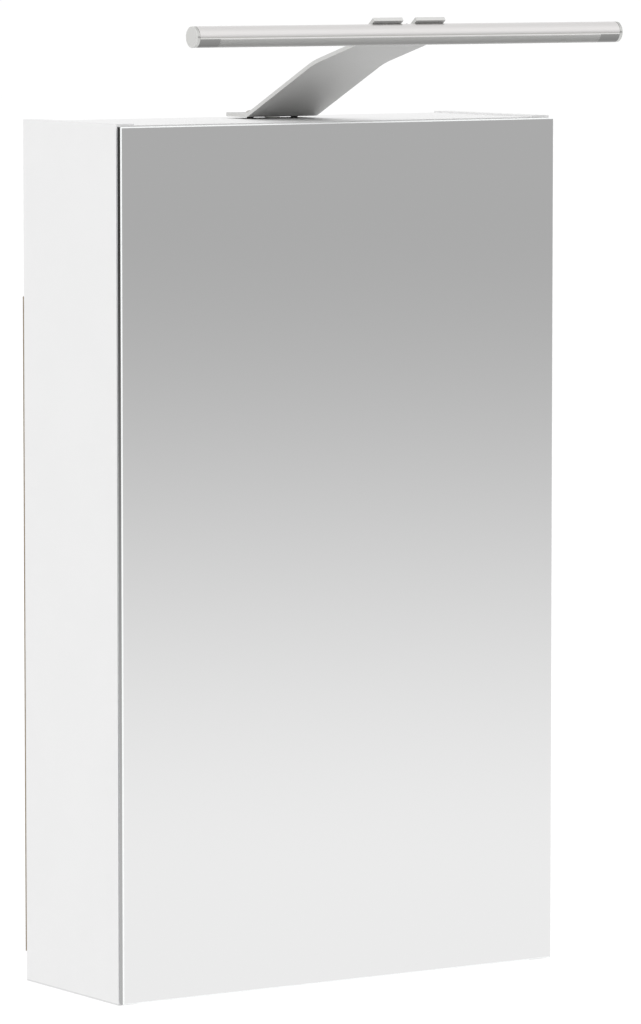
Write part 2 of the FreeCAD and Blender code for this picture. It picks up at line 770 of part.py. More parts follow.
def switch_rocker():
    """Rocker with a hollowed front, resting with its upper end pressed in."""
    half = rocker_height / 2
    rise = half * math.tan(math.radians(rocker_tilt))
    tip = rocker_waist + rise
    x0 = rocker_x - rocker_width / 2
    corners = [V(x0, -tip, half), V(x0, -tip, -half)]
    front = Part.Arc(corners[0], V(x0, -rocker_waist, 0), corners[1]).toShape()
    down = Part.LineSegment(corners[1], V(x0, 0, -half)).toShape()
    belly = Part.Arc(V(x0, 0, -half), V(x0, rocker_belly, 0), V(x0, 0, half)).toShape()
    up = Part.LineSegment(V(x0, 0, half), corners[0]).toShape()
    shape = Part.Face(Part.Wire([front, down, belly, up])).extrude(X_AXIS * rocker_width)
    shape = shape.cut(rod(axle_radius + axle_fit, V(x0, 0, 0), X_AXIS, rocker_width))
    shape.rotate(V(0, 0, 0), X_AXIS, -rocker_tilt)
    shape.translate(V(0, rocker_y, rocker_z))
    return shape


def led_driver():
    """Power supply of the light inside the switch box, on its rear wall."""
    x0 = box_left + cover_screw_inset + post_radius + driver_gap
    y1 = -board - box_wall
    z0 = z_box_low + box_wall
    shape = block(x0, x0 + driver_length, y1 - driver_depth, y1, z0, z0 + driver_height)
    upright = [e for e in shape.Edges if e.BoundBox.YLength > driver_depth / 2]
    return shape.makeFillet(driver_round, upright)


def main():
    """Build every node."""
    os.makedirs("parts", exist_ok=True)
    save("side_left", side_board(-1))
    save("side_right", side_board(1))
    save("top_board", top_board())
    save("bottom_board", cross_board(y_front, 0, z_floor, z_bottom_top))
    save("rear_rail", rear_rail())
    save("dowels", *[dowel(point, side) for point in dowel_lines() for side in (-1, 1)])
    save("back_panel", back_panel())
    for name, z0 in zip(("shelf_lower", "shelf_upper"), z_shelves):
        save(name, glass_shelf(z0))
    save("shelf_pins", *[shelf_pin(side, y, z0)
                         for z0 in z_shelves for y in shelf_pin_ys for side in (-1, 1)])
    save("mirror_pane", mirror_pane())
    save("mirror_film", mirror_film())
    save("hinge_side_leaves", *[side_leaf(z0) for z0 in hinge_starts])
    save("hinge_door_leaves", *[door_leaf(z0) for z0 in hinge_starts])
    save("hinge_pins", *[rod(hinge_pin_radius, V(hinge_x, hinge_y, z0), Z_AXIS, hinge_length)
                         for z0 in hinge_starts])
    save("hinge_screws", *[hinge_screw(place) for place in hinge_screw_places()])
    save("catch_body", catch_body())
    save("catch_magnet", magnet())
    save("strike_plate", strike_plate())
    save("door_bumpers", *[bumper(z) for z in (z_door_low + bumper_margin, z_door_high - bumper_margin)])
    save("lamp_arm", lamp_arm())
    save("arm_spacers", *[arm_spacer(x) for x in arm_screw_xs()])
    save("arm_screws", *[arm_screw(x) for x in arm_screw_xs()])
    save("lead_grommet", lead_grommet())
    save("lamp_housing", lamp_housing())
    save("lamp_diffuser", lamp_diffuser())
    save("lamp_cap_left", lamp_end_cap(-1))
    save("lamp_cap_right", lamp_end_cap(1))
    save("led_board", led_board())
    save("led_chips", *led_chips())
    save("bar_screws", *[bar_screw(x) for x in bar_screw_xs()])
    save("lamp_gland", lamp_gland())
    save("switch_box", switch_box())
    save("switch_cover", switch_cover())
    save("switch_rocker", switch_rocker())
    save("switch_axle", switch_axle())
    save("led_driver", led_driver())


main()
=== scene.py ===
"""Looks of a wall-hung mirror cabinet with a light bar, laid out as an add-on and run as a script."""
import math
import bmesh
import bpy
from mathutils import Euler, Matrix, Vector


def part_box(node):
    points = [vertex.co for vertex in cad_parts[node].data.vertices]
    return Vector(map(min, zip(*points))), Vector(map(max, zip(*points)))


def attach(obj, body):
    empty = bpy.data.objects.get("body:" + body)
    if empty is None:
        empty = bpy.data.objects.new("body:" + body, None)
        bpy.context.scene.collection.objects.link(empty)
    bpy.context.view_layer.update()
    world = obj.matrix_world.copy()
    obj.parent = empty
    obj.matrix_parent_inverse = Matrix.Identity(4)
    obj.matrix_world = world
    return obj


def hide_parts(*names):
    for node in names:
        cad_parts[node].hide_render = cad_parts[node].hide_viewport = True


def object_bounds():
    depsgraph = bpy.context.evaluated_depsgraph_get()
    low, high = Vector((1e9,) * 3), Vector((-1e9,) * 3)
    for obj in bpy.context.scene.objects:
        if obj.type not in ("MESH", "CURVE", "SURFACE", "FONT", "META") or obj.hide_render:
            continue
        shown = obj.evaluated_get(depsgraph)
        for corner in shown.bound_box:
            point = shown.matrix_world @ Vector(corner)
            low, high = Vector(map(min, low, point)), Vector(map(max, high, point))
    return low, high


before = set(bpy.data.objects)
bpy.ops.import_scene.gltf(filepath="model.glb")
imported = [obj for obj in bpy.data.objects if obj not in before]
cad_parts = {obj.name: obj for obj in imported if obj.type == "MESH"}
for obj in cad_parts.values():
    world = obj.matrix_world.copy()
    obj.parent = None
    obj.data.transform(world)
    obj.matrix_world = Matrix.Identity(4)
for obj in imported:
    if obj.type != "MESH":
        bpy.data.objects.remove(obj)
CAD_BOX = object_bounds()

bl_info = {
    "name": "Mirror cabinet looks",
    "version": (1, 0, 0),
    "blender": (4, 5, 0),
    "location": "3D View > Sidebar > Cabinet",
    "description": "Finishes and small parts of a mirror cabinet with a light bar",
    "category": "Object",
}

MM = 0.001
PRONG_ANGLE = math.radians(36.3)      # slope of the arm's end, which carries the light bar
PRONG_TOP = 10.5 * MM                 # upper face of the prongs above the bar's axis
CAP_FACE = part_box("lamp_housing")[1].x    # end of the profile, where the caps' discs begin
CAP_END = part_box("lamp_cap_right")[1].x
CAP_ROUND = 0.6 * MM                  # rounded edge of the caps' discs
CAP_HAZE = 0.1                        # share of the caps' roughness that is a haze on their polish
BAR_AXIS = sum(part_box("lamp_cap_left"), Vector()) / 2
LENS_ACROSS = (0, -math.cos(PRONG_ANGLE), math.sin(PRONG_ANGLE))    # across the cover strip, to the front
LENS_DOWN = (0, -math.sin(PRONG_ANGLE), -math.cos(PRONG_ANGLE))     # the way that the cover strip faces
LENS_EDGE = math.radians(43)          # edge of the strip, as an angle round the bar from its middle
LENS_RIM_HIGHLIGHT = math.radians(39)           # inner end of the painted highlight on the strip's rims, and outer end of its painted shade
LIP_HIGHLIGHT_END = math.radians(47.5)         # outer end of the painted highlight on the profile's lip
LIP_SHADE_END = math.radians(53)           # outer end of the painted shade beside the lip
ARM_SHEET = 3.0 * MM                  # thickness of the arm
ARM_HIGHLIGHT_TILT = 0.7                   # faces of the arm that look less up or down than this are cut edges, which get a painted highlight
EAR_LENGTH = 9.0 * MM                 # screw ears of the catch
EAR_SET_BACK = 8.5 * MM               # front of the ears behind the catch's front
EAR_THICKNESS = 2.5 * MM
LOW_EDGE_SHADE = 1.2 * MM                  # height of the painted shade along the lower ends of the sides, where a rounded edge would be in shade
NAIL_SEAT = 0.8 * MM                  # depth of the dents that the nails sit in
LACQUER = 0.1 * MM                    # thickness of the white lacquer on the back panel's inner face
SCREW_RIM = 0.2 * MM                  # play of a flush screw head in its countersink
DOME = 0.55                           # height of a round screw head as a share of its radius
SLOT_SPAN = 1.15                      # length of a cross slot as a share of the head's radius
BLOCK_SPAN = 3.0                      # side of the block that halves a ball, as a share of its radius
FACING_FRONT = Vector((math.pi / 2, 0, 0))
FACING_REAR = Vector((-math.pi / 2, 0, 0))
FACING_RIGHT = Vector((0, math.pi / 2, 0))
FACING_UP = Vector((0, 0, 0))
GLASS_IOR = 1.52                      # bends light like soda-lime glass
RELIEF = 0.25                         # strength of the fine reliefs
SMOOTH = {"interpolation_type": "SMOOTHSTEP"}    # soft steps between the studio's levels of light
FLOOR_END, WALL_START = -0.154, -0.046    # Z of a view's direction where the floor ends and the wall starts
FRONT_END, REAR_START = -0.55, -0.1       # Y of a view's direction where the front ends and the rear starts
CARD_ACROSS = (0.8525, 0.523, 0.0)    # level direction along the width of the studio's dark card
CARD_HALF, CARD_FADE = 0.12, 0.22     # half width of the card, and the same with its soft edge
DOOR_LOW, DOOR_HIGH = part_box("mirror_pane")
BACK_LOW, BACK_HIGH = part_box("back_panel")


def linear(code):
    """Linear RGBA of an sRGB hex colour."""
    parts = [int(code[i:i + 2], 16) / 255 for i in (1, 3, 5)]
    return [c / 12.92 if c <= 0.04045 else ((c + 0.055) / 1.055) ** 2.4 for c in parts] + [1.0]


def per_mm(size):
    """Texture scale whose features are about size millimetres wide."""
    return 1 / (size * MM)


def add(tree, kind, settings=None, inputs=None):
    """Add a node, set its own settings, and set or link its inputs by name or number."""
    node = tree.nodes.new(kind)
    for key, value in (settings or {}).items():
        setattr(node, key, value)
    for key, value in (inputs or {}).items():
        if isinstance(value, bpy.types.NodeSocket):
            tree.links.new(value, node.inputs[key])
        else:
            node.inputs[key].default_value = value
    return node


# Settings that a user would change

def colour(name, words, code):
    """Colour property with an sRGB hex default."""
    return bpy.props.FloatVectorProperty(name=name, description=words, subtype="COLOR", size=4,
                                         min=0, max=1, default=linear(code))


def length(name, words, millimetres):
    """Length property with a default in millimetres."""
    return bpy.props.FloatProperty(name=name, description=words, subtype="DISTANCE", unit="LENGTH",
                                   min=0, default=millimetres * MM)


def count(name, words, number):
    """Number property with a default."""
    return bpy.props.IntProperty(name=name, description=words, min=1, default=number)


class CabinetColours(bpy.types.PropertyGroup):
    """Base colours of the finishes."""
    board: colour("Board", "Melamine facing of the carcass", "#ebebeb")
    board_shade: colour("Board shade", "Faint darker clouds of the facing", "#e8e8e8")
    hardboard: colour("Hardboard", "Lighter fibres of the back panel", "#928168")
    hardboard_fleck: colour("Hardboard fleck", "Darker fibres of the back panel", "#74624a")
    mirror: colour("Mirror", "Tint of the silvered glass", "#f2f2f2")
    glass_edge: colour("Glass edge", "Polished edge of the mirror", "#e9e9e9")
    shelf_glass: colour("Shelf glass", "Tint of the shelves", "#e6f2ec")
    shelf_edge: colour("Shelf edge", "Green that the edges of the shelves gather", "#8fbcab")
    film: colour("Film", "Safety film behind the mirror", "#d3d5d6")
    nickel: colour("Nickel", "Plating of hinges, pins and screws", "#cac8c4")
    arm: colour("Arm", "Silver lacquer of the arm", "#c4c4c2")
    # the arm edge colour is a painted highlight on the arm's cut edges
    arm_edge_highlight: colour("Arm edge", "Lacquer on the cut edges of the arm", "#dededc")
    aluminium: colour("Aluminium", "Anodised profile of the light bar", "#efedec")
    # the lens colour is the lighter end of the painted shade across the cover strip
    lens: colour("Lens", "Edges of the light's cover strip", "#b7b7b5")
    chrome: colour("Chrome", "End disc of the light bar", "#eeeeec")
    plastic: colour("White plastic", "Moulded white parts", "#f1f1ee")


class CabinetSizes(bpy.types.PropertyGroup):
    """Sizes of the small parts that are added to the solids."""
    arris: length("Arris", "Ground bevel round the front of the mirror", 0.9)
    nail_head: length("Nail head", "Diameter of a nail head on the back panel", 4.2)
    nail_height: length("Nail height", "Height of a nail head", 0.7)
    nails_across: count("Nails across", "Spaces between nails along the back panel's width", 4)
    nails_up: count("Nails up", "Spaces between nails along the back panel's height", 5)
    recess_width: length("Recess width", "Width of a cross slot in a screw head", 0.75)
    catch_screw: length("Catch screw", "Diameter of a screw head on the catch", 5.0)
    cover_screw: length("Cover screw", "Diameter of a screw head on the switch cover", 4.6)
    cover_screw_inset: length("Cover screw inset", "Cover screws inside the cover's ends", 4.5)
    floor_drop: length("Floor drop", "Floor below the cabinet", 320.0)


def colours():
    """Colour settings of the scene."""
    return bpy.context.scene.cabinet_colours


def sizes():
    """Size settings of the scene."""
    return bpy.context.scene.cabinet_sizes


# Materials
# Grit, flake, draw lines and mould texture are finer on the real parts. Here they are as coarse as they
# need to be to show.

def blank(name):
    """Material without nodes, its tree and its Object coordinates."""
    material = bpy.data.materials.new(name)
    material.use_nodes = True
    tree = material.node_tree
    tree.nodes.clear()
    return material, tree, add(tree, "ShaderNodeTexCoord").outputs["Object"]


def grain(tree, coords, size, detail=3.0, stretch=(1, 1, 1)):
    """Noise value with features of a size in millimetres, drawn out along the axes by stretch."""
    mapped = add(tree, "ShaderNodeMapping", inputs={"Vector": coords, "Scale": [1 / s for s in stretch]})
    return add(tree, "ShaderNodeTexNoise", inputs={"Vector": mapped.outputs[0], "Scale": per_mm(size),
                                                   "Detail": detail}).outputs["Fac"]


def surface(tree, sockets, rough, gloss_by, depth_mm=0.0, height=None):
    """End a material in a shader: roughness over a range, and a relief of a depth in millimetres if any."""
    spread = add(tree, "ShaderNodeMapRange",
                 inputs={"Value": gloss_by, "To Min": rough[0], "To Max": rough[1]})
    sockets = {**sockets, "Roughness": spread.outputs[0]}
    if depth_mm:
        bump = add(tree, "ShaderNodeBump",
                   inputs={"Height": height, "Distance": depth_mm * MM, "Strength": RELIEF})
        sockets["Normal"] = bump.outputs[0]
    shader = add(tree, "ShaderNodeBsdfPrincipled", inputs=sockets)
    add(tree, "ShaderNodeOutputMaterial", inputs={"Surface": shader.outputs[0]})


def finish(name, first, second, size, rough, depth_mm=0.0, stretch=(1, 1, 1), detail=2.0, **sockets):
    """Material whose grain carries its colour, its gloss and its relief."""
    material, tree, coords = blank(name)
    lines = grain(tree, coords, size, detail, stretch)
    base = add(tree, "ShaderNodeMix", {"data_type": "RGBA"}, {0: lines, 6: first, 7: second})
    surface(tree, {"Base Color": base.outputs[2], **sockets}, rough, lines, depth_mm, lines)
    return material


def melamine_facing():
    """White melamine on chipboard, pressed with a fine pearl: soft sheen, a faint painted shade line at the
    lower edges.
    """
    material, tree, coords = blank("white_melamine_pressed")
    cloud = grain(tree, coords, size=60)
    pearl = grain(tree, coords, size=0.9, detail=2.0)
    facing = add(tree, "ShaderNodeMix", {"data_type": "RGBA"},
                 {0: cloud, 6: colours().board, 7: colours().board_shade})
    level = add(tree, "ShaderNodeSeparateXYZ", inputs={"Vector": coords}).outputs["Z"]
    # painted shade: the lowest strip of the boards turns darker grey, as a rounded edge in shade would
    low_shade = add(tree, "ShaderNodeMath", {"operation": "LESS_THAN"}, {0: level, 1: CAD_BOX[0].z + LOW_EDGE_SHADE})
    base = add(tree, "ShaderNodeMix", {"data_type": "RGBA"},
               {0: low_shade.outputs[0], 6: facing.outputs[2], 7: linear("#d9d9d9")})
    surface(tree, {"Base Color": base.outputs[2]}, rough=(0.42, 0.54), gloss_by=pearl,
            depth_mm=0.03, height=pearl)
    return material


def raw_hardboard():
    """Hardboard, pressed: raw brown edges and rear with short fibres, white lacquer on the inner face."""
    material, tree, coords = blank("hardboard_pressed_lacquered")
    upright = grain(tree, coords, size=0.7, detail=6.0, stretch=(4, 4, 0.7))
    level = grain(tree, coords, size=0.7, detail=6.0, stretch=(0.7, 4, 4))
    fibres = add(tree, "ShaderNodeMath", {"operation": "MULTIPLY"}, {0: upright, 1: level}).outputs[0]
    spread = add(tree, "ShaderNodeMapRange", inputs={"Value": fibres, "From Min": 0.12, "From Max": 0.42})
    raw = add(tree, "ShaderNodeMix", {"data_type": "RGBA"},
              {0: spread.outputs[0], 6: colours().hardboard_fleck, 7: colours().hardboard})
    depth = add(tree, "ShaderNodeSeparateXYZ", inputs={"Vector": coords}).outputs["Y"]
    behind = add(tree, "ShaderNodeMath", {"operation": "GREATER_THAN"}, {0: depth, 1: LACQUER}).outputs[0]
    base = add(tree, "ShaderNodeMix", {"data_type": "RGBA"},
               {0: behind, 6: colours().board, 7: raw.outputs[2]})
    surface(tree, {"Base Color": base.outputs[2]}, rough=(0.4, 0.86), gloss_by=behind,
            depth_mm=0.07, height=fibres)
    return material


def turned_beech():
    """Beech, turned: pale pinkish wood with fine streaks along the dowel."""
    return finish("beech_turned", linear("#caa173"), linear("#a97c4e"), size=0.6, rough=(0.64, 0.76),
                  depth_mm=0.06, stretch=(14, 1, 1), detail=4.0)


def silvered_mirror():
    """Silvered float glass: a clear sharp image, with the faintest wiping haze."""
    material, tree, coords = blank("float_glass_silvered")
    haze = grain(tree, coords, size=90, detail=2.0, stretch=(1, 1, 2))
    surface(tree, {"Base Color": colours().mirror, "Metallic": 1.0}, rough=(0.004, 0.016), gloss_by=haze)
    return material


def polished_edge():
    """Edge of the mirror, polished: the silver shows through it, so it mirrors the room like the face."""
    return finish("float_glass_polished_edge", colours().glass_edge, linear("#e1e1e1"), size=0.5,
                  rough=(0.04, 0.1), stretch=(1, 1, 24), Metallic=1.0)


def ground_arris():
    """Arris of the mirror, ground matt: a pale line that catches the light."""
    return finish("float_glass_matt_arris", linear("#fcfdfd"), linear("#f3f6f5"), size=0.3, rough=(0.5, 0.6),
                  depth_mm=0.02, IOR=GLASS_IOR)


def safety_film():
    """Polymer film rolled onto the mirror's back: light grey, satin, a fine linen emboss."""
    return finish("polyester_film_embossed", colours().film, linear("#cbcdce"), size=0.8, rough=(0.4, 0.55),
                  depth_mm=0.04, stretch=(1, 1, 6))


def float_glass():
    """Clear float glass, polished: see-through faces, and edges where the green of the glass gathers."""
    material, tree, coords = blank("float_glass_polished")
    ripple = grain(tree, coords, size=60, detail=2.0)
    facing = add(tree, "ShaderNodeNewGeometry").outputs["True Normal"]
    tilt = add(tree, "ShaderNodeSeparateXYZ", inputs={"Vector": facing}).outputs["Z"]
    level = add(tree, "ShaderNodeMath", {"operation": "ABSOLUTE"}, {0: tilt}).outputs[0]
    base = add(tree, "ShaderNodeMix", {"data_type": "RGBA"},
               {0: level, 6: colours().shelf_edge, 7: colours().shelf_glass})
    clear = add(tree, "ShaderNodeMapRange", inputs={"Value": level, "To Min": 0.4, "To Max": 1.0})
    surface(tree, {"Base Color": base.outputs[2], "Transmission Weight": clear.outputs[0], "IOR": GLASS_IOR},
            rough=(0.0, 0.02), gloss_by=ripple)
    return material


def nickel_plate():
    """Nickel plate on stamped steel: warm grey metal, evenly satin, with a soft cloud."""
    return finish("steel_nickel_plated", colours().nickel, linear("#c5c3bf"), size=20, rough=(0.27, 0.3),
                  detail=0.0, Metallic=1.0)


def silver_lacquer():
    """Silver lacquer sprayed on steel: fine flake, half a blurred reflection, a painted highlight on the cut
    edges.
    """
    material, tree, coords = blank("steel_silver_lacquered")
    flake = grain(tree, coords, size=0.4, detail=2.0)
    face = add(tree, "ShaderNodeMix", {"data_type": "RGBA"},
               {0: flake, 6: colours().arm, 7: linear("#bababa")})
    facing = add(tree, "ShaderNodeNewGeometry").outputs["True Normal"]
    tilt = add(tree, "ShaderNodeSeparateXYZ", inputs={"Vector": facing}).outputs["Z"]
    steep = add(tree, "ShaderNodeMath", {"operation": "ABSOLUTE"}, {0: tilt}).outputs[0]
    # painted highlight: sideways faces, the cut edges, take the lighter arm edge colour
    cut = add(tree, "ShaderNodeMath", {"operation": "LESS_THAN"}, {0: steep, 1: ARM_HIGHLIGHT_TILT}).outputs[0]
    base = add(tree, "ShaderNodeMix", {"data_type": "RGBA"},
               {0: cut, 6: face.outputs[2], 7: colours().arm_edge_highlight})
    surface(tree, {"Base Color": base.outputs[2], "Metallic": 0.5}, rough=(0.38, 0.48), gloss_by=flake,
            depth_mm=0.005, height=flake)
    return material


def strip_angle(tree, coords):
    """Angle round the light bar, from the middle of its cover strip to either side."""
    place = add(tree, "ShaderNodeVectorMath", {"operation": "SUBTRACT"}, {0: coords, 1: BAR_AXIS}).outputs[0]
    across = add(tree, "ShaderNodeVectorMath", {"operation": "DOT_PRODUCT"}, {0: place, 1: LENS_ACROSS})
    down = add(tree, "ShaderNodeVectorMath", {"operation": "DOT_PRODUCT"}, {0: place, 1: LENS_DOWN})
    away = add(tree, "ShaderNodeMath", {"operation": "ABSOLUTE"}, {0: across.outputs["Value"]})
    return add(tree, "ShaderNodeMath", {"operation": "ARCTAN2"},
               {0: away.outputs[0], 1: down.outputs["Value"]}).outputs[0]


def anodised_bar():
    """Extruded aluminium, matt anodised: bright silver, fine draw lines, painted shade beside a painted lip
    highlight.
    """
    material, tree, coords = blank("aluminium_anodised_extruded")
    lines = grain(tree, coords, size=0.22, detail=3.0, stretch=(160, 1, 1))
    angle = strip_angle(tree, coords)
    face = add(tree, "ShaderNodeMix", {"data_type": "RGBA"},
               {0: lines, 6: colours().aluminium, 7: linear("#e5e3e2")})
    # painted shade: a darker band round the profile beside the lip
    lip_shade = add(tree, "ShaderNodeMath", {"operation": "LESS_THAN"}, {0: angle, 1: LIP_SHADE_END})
    with_lip_shade = add(tree, "ShaderNodeMix", {"data_type": "RGBA"},
                {0: lip_shade.outputs[0], 6: face.outputs[2], 7: linear("#d3d2cf")})
    # painted highlight: the lip next to the cover strip is painted brighter
    lip_highlight = add(tree, "ShaderNodeMath", {"operation": "LESS_THAN"}, {0: angle, 1: LIP_HIGHLIGHT_END})
    base = add(tree, "ShaderNodeMix", {"data_type": "RGBA"},
               {0: lip_highlight.outputs[0], 6: with_lip_shade.outputs[2], 7: linear("#fbfaf8")})
    surface(tree, {"Base Color": base.outputs[2], "Metallic": 1.0}, rough=(0.3, 0.4), gloss_by=lines,
            depth_mm=0.005, height=lines)
    return material


def chrome_cap():
    """Zinc caps, chromed: a bright matt end disc, a polished rim, a dark polished tongue along the bar with a
    painted reflection.
    """
    material, tree, coords = blank("zinc_chromed")
    along = add(tree, "ShaderNodeSeparateXYZ", inputs={"Vector": coords}).outputs["X"]
    reach = add(tree, "ShaderNodeMath", {"operation": "ABSOLUTE"}, {0: along}).outputs[0]
    rim = add(tree, "ShaderNodeMath", {"operation": "GREATER_THAN"}, {0: reach, 1: CAP_FACE}).outputs[0]
    disc = add(tree, "ShaderNodeMath", {"operation": "GREATER_THAN"},
               {0: reach, 1: CAP_END - CAP_ROUND}).outputs[0]
    # painted reflection: the tongue is darker in its middle, lighter towards the cover strip's edges
    reflection_fade = add(tree, "ShaderNodeMapRange", inputs={"Value": strip_angle(tree, coords), "From Max": LENS_EDGE})
    tongue_reflection = add(tree, "ShaderNodeMix", {"data_type": "RGBA"},
                 {0: reflection_fade.outputs[0], 6: linear("#7c7c7b"), 7: linear("#989897")})
    dark = add(tree, "ShaderNodeMix", {"data_type": "RGBA"},
               {0: rim, 6: tongue_reflection.outputs[2], 7: linear("#cfcfcd")})
    base = add(tree, "ShaderNodeMix", {"data_type": "RGBA"},
               {0: disc, 6: dark.outputs[2], 7: colours().chrome})
    haze = grain(tree, coords, size=0.8)
    faint = add(tree, "ShaderNodeMath", {"operation": "MULTIPLY"}, {0: haze, 1: CAP_HAZE})
    matt = add(tree, "ShaderNodeMath", {"operation": "MULTIPLY_ADD"},
               {0: disc, 1: 1 - CAP_HAZE, 2: faint.outputs[0]})
    surface(tree, {"Base Color": base.outputs[2], "Metallic": 1.0}, rough=(0.08, 0.65),
            gloss_by=matt.outputs[0])
    return material


def lens_strip():
    """Extruded polycarbonate cover, smoky when the light is off: glossy, painted shade in the middle, painted
    highlights on rims.
    """
    material, tree, coords = blank("polycarbonate_extruded")
    ribs = grain(tree, coords, size=0.4, detail=1.0, stretch=(200, 1, 1))
    angle = strip_angle(tree, coords)
    # painted shade: darker in the middle of the strip, lighter towards its rims
    shade_fade = add(tree, "ShaderNodeMapRange", inputs={"Value": angle, "From Max": LENS_RIM_HIGHLIGHT})
    painted_shade = add(tree, "ShaderNodeMix", {"data_type": "RGBA"},
                {0: shade_fade.outputs[0], 6: linear("#8b8b89"), 7: colours().lens})
    # painted highlight: a bright band along each rim of the strip
    rim = add(tree, "ShaderNodeMath", {"operation": "GREATER_THAN"}, {0: angle, 1: LENS_RIM_HIGHLIGHT})
    base = add(tree, "ShaderNodeMix", {"data_type": "RGBA"},
               {0: rim.outputs[0], 6: painted_shade.outputs[2], 7: linear("#dededc")})
    surface(tree, {"Base Color": base.outputs[2], "IOR": 1.58, "Transmission Weight": 0.25},
            rough=(0.1, 0.18), gloss_by=ribs, depth_mm=0.012, height=ribs)
    return material


def white_abs():
    """White ABS, moulded: clean white, low sheen, the fine spark texture of its tool."""
    return finish("abs_moulded_white", colours().plastic, linear("#e9e9e5"), size=0.7, rough=(0.32, 0.42),
                  depth_mm=0.03)


def black_nylon():
    """Black nylon, moulded: dull black with a grey bloom."""
    return finish("nylon_moulded_black", linear("#17181a"), linear("#222326"), size=0.6, rough=(0.5, 0.65),
                  depth_mm=0.03)


def sintered_ferrite():
    """Ferrite, sintered and ground: charcoal, grainy."""
    return finish("ferrite_sintered", linear("#2c2d30"), linear("#3d3e42"), size=0.35, rough=(0.55, 0.75),
                  depth_mm=0.03)


def solder_mask():
    """White solder mask on a circuit strip: bright, slightly glossy."""
    return finish("solder_mask_white", linear("#f2f2ec"), linear("#e6e6df"), size=1.2, rough=(0.3, 0.4),
                  depth_mm=0.03)


def phosphor_dome():
    """Unlit phosphor: a yellow dull face."""
    return finish("phosphor_cast", linear("#ecd66a"), linear("#dcc252"), size=0.5, rough=(0.35, 0.5),
                  depth_mm=0.03)


def cast_silicone():
    """Clear silicone, cast: milky and soft edged."""
    return finish("silicone_cast_clear", linear("#e8ebec"), linear("#d9dddf"), size=2.0, rough=(0.25, 0.4),
                  IOR=1.41, **{"Transmission Weight": 0.6})


# Shapes

def dress(material, *nodes):
    """Give CAD nodes a material."""
    for name in nodes:
        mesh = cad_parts[name].data
        mesh.materials.clear()
        mesh.materials.append(material)


def link(name, mesh, body, slot, *replaced):
    """Put a finished mesh into the scene as a piece that rides on a body."""
    piece = bpy.data.objects.new(name, mesh)
    bpy.context.scene.collection.objects.link(piece)
    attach(piece, body)
    if replaced:
        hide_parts(*replaced)
    return piece


def islands(node):
    """Lowest and highest corner of each separate solid of a CAD node."""
    shape = bmesh.new()
    shape.from_mesh(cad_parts[node].data)
    bmesh.ops.remove_doubles(shape, verts=shape.verts, dist=0.01 * MM)
    left = set(shape.verts)
    found = []
    while left:
        queue = [left.pop()]
        points = []
        while queue:
            vert = queue.pop()
            points.append(vert.co.copy())
            for edge in vert.link_edges:
                other = edge.other_vert(vert)
                if other in left:
                    left.discard(other)
                    queue.append(other)
        found.append((Vector(map(min, *points)), Vector(map(max, *points))))
    shape.free()
    return sorted(found, key=lambda pair: tuple(pair[0]))


def new_tree(name, sockets):
    """Geometry tree with named inputs, a points input and one geometry output."""
    tree = bpy.data.node_groups.new(name, "GeometryNodeTree")
    tree.interface.new_socket("Geometry", in_out="INPUT", socket_type="NodeSocketGeometry")
    for label, kind in sockets:
        tree.interface.new_socket(label, in_out="INPUT", socket_type=kind)
    tree.interface.new_socket("Geometry", in_out="OUTPUT", socket_type="NodeSocketGeometry")
    return tree, add(tree, "NodeGroupInput")


def close_tree(tree, geometry, material):
    """End a tree in real faces with one material."""
    real = add(tree, "GeometryNodeRealizeInstances", inputs={"Geometry": geometry})
    painted = add(tree, "GeometryNodeSetMaterial", inputs={"Geometry": real.outputs[0], "Material": material})
    add(tree, "NodeGroupOutput", inputs={0: painted.outputs[0]})


def grow(name, tree, points, values):
    """Plain mesh that a tree makes from points and input values."""
    mesh = bpy.data.meshes.new(name)
    mesh.from_pydata(points, [], [])
    seed = bpy.data.objects.new(name, mesh)
    bpy.context.scene.collection.objects.link(seed)
    modifier = seed.modifiers.new("grow", "NODES")
    modifier.node_group = tree
    named = {item.name: item.identifier for item in tree.interface.items_tree if item.in_out == "INPUT"}
    for label, value in values.items():
        modifier[named[label]] = value
    bpy.context.view_layer.update()
    graph = bpy.context.evaluated_depsgraph_get()
    made = bpy.data.meshes.new_from_object(seed.evaluated_get(graph), depsgraph=graph)
    made.name = name
    bpy.data.objects.remove(seed)
    bpy.data.meshes.remove(mesh)
    return made


def nail_tree(material):
    """Flattened round nail head on each point, facing the rear."""
    number = "NodeSocketFloat"
    tree, given = new_tree("nail_heads", [("Radius", number), ("Height", number)])
    ball = add(tree, "GeometryNodeMeshUVSphere",
               inputs={"Segments": 18, "Rings": 8, "Radius": given.outputs["Radius"]})
    flat = add(tree, "ShaderNodeMath", {"operation": "DIVIDE"},
               {0: given.outputs["Height"], 1: given.outputs["Radius"]})
    scale = add(tree, "ShaderNodeCombineXYZ", inputs={"X": 1.0, "Y": 1.0, "Z": flat.outputs[0]})
    head = add(tree, "GeometryNodeTransform", inputs={"Geometry": ball.outputs[0], "Scale": scale.outputs[0]})
    spread = add(tree, "GeometryNodeInstanceOnPoints",
                 inputs={"Points": given.outputs["Geometry"], "Instance": head.outputs[0],
                         "Rotation": Euler(FACING_REAR)})
    close_tree(tree, spread.outputs[0], material)
    return tree


